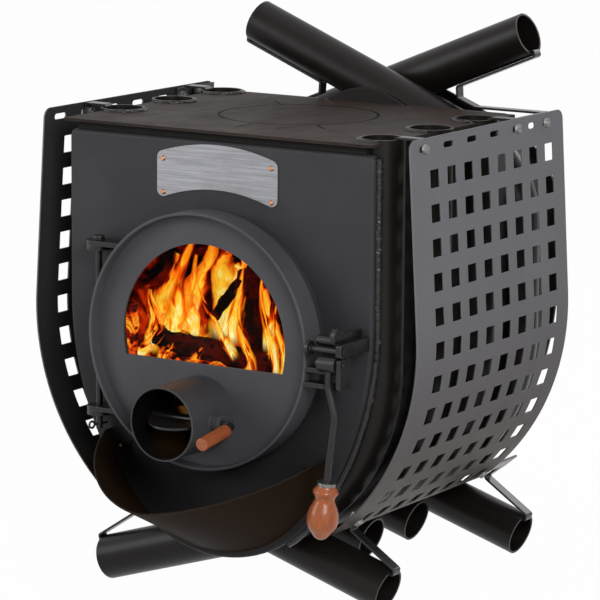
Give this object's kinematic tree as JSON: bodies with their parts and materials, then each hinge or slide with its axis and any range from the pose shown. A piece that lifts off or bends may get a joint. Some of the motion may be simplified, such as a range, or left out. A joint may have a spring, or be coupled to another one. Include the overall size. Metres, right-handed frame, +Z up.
{
  "type": "air-heating wood stove",
  "caption": "Round-bellied convection wood stove of bent steel air tubes with a round glazed door, ash lip, latch handle, perforated side shields and rear flue spigot.",
  "frame": {"origin": "floor under the middle of the overall box", "axes": "+Z up, -Y towards the person at the door, +X to that person's right"},
  "size_m": [0.5986, 0.7772, 0.7606],
  "materials": {
    "tube_black": "satin heat-proof paint",
    "front_black": "satin heat-proof paint",
    "door_black": "satin heat-proof paint",
    "top_black": "satin heat-proof paint",
    "shield_grey": "satin heat-proof paint",
    "zinc": "zinc plated",
    "plate_silver": "brushed",
    "rivet_copper": "bright copper",
    "rope_black": "braided glass-fibre rope",
    "stove_glass": "clear ceramic glass",
    "knob_wood": "lacquered, turned"
  },
  "bodies": {
    "stove_body": {"air_tube_left_1": "tube_black", "air_tube_left_2": "tube_black", "air_tube_left_3": "tube_black", "air_tube_left_4": "tube_black", "air_tube_right_1": "tube_black", "air_tube_right_2": "tube_black", "air_tube_right_3": "tube_black", "air_tube_right_4": "tube_black", "baffle_plate": "tube_black", "baffle_rails": "tube_black", "door_collar": "front_black", "flue_spigot": "tube_black", "front_plate": "front_black", "hinge_brackets": "door_black", "hinge_cotter": "door_black", "hinge_pin": "door_black", "horn_strap_left": "shield_grey", "horn_strap_right": "shield_grey", "infill_strip_left_front": "tube_black", "infill_strip_left_rear": "tube_black", "infill_strip_right_middle": "tube_black", "infill_strip_right_rear": "tube_black", "infill_strips_left_middle": "tube_black", "infill_strips_right_front": "tube_black", "latch_keeper_bar": "door_black", "latch_keeper_pin": "door_black", "latch_stop": "door_black", "left_heat_shield": "shield_grey", "lip_studs": "front_black", "lower_struts": "shield_grey", "nameplate": "plate_silver", "nameplate_rivets": "rivet_copper", "rear_arch_plate": "tube_black", "rear_plate": "tube_black", "right_heat_shield": "shield_grey", "shield_bolts": "zinc", "shield_nuts": "zinc", "top_plate": "top_black", "top_plate_seal": "rope_black", "upper_clips": "shield_grey"},
    "door": {"door_ring": "door_black", "door_plate": "door_black", "door_glass": "stove_glass", "glass_clips": "door_black", "glass_screws": "zinc", "door_rope_seal": "rope_black", "rope_retaining_ring": "door_black", "air_inlet_tube": "door_black", "door_hinge_ears": "door_black", "latch_bracket": "door_black", "latch_pivot_pin": "door_black"},
    "latch_handle": {"latch_lever": "door_black", "latch_ferrule": "zinc", "latch_knob": "knob_wood"},
    "air_damper": {"air_damper_disc": "door_black", "air_damper_spindle": "door_black", "air_damper_grip": "knob_wood"},
    "flue_damper": {"flue_damper_disc": "tube_black", "flue_damper_spindle": "tube_black"},
    "lip": {"ash_lip": "front_black"}
  },
  "joints": [
    {"name": "door_swing", "type": "hinge", "parent": "stove_body", "child": "door", "pos_m": [-0.176, -0.22442, 0.36], "axis": [0, 0, -1], "range_deg": [0, 110]},
    {"name": "latch_lift", "type": "hinge", "parent": "door", "child": "latch_handle", "pos_m": [0.21, -0.26642, 0.3607], "axis": [-1, 0, 0], "range_deg": [0, 90]},
    {"name": "air_damper_turn", "type": "hinge", "parent": "door", "child": "air_damper", "pos_m": [0, -0.28642, 0.2689], "axis": [1, 0, 0], "range_deg": [-8, 82]},
    {"name": "flue_damper_turn", "type": "hinge", "parent": "stove_body", "child": "flue_damper", "pos_m": [0, 0.33158, 0.5167], "axis": [1, 0, 0], "range_deg": [0, 90]},
    {"name": "ash_lip_lift", "type": "slide", "parent": "stove_body", "child": "lip", "axis": [0, 0, 1], "range_m": [0, 0.016]}
  ]
}
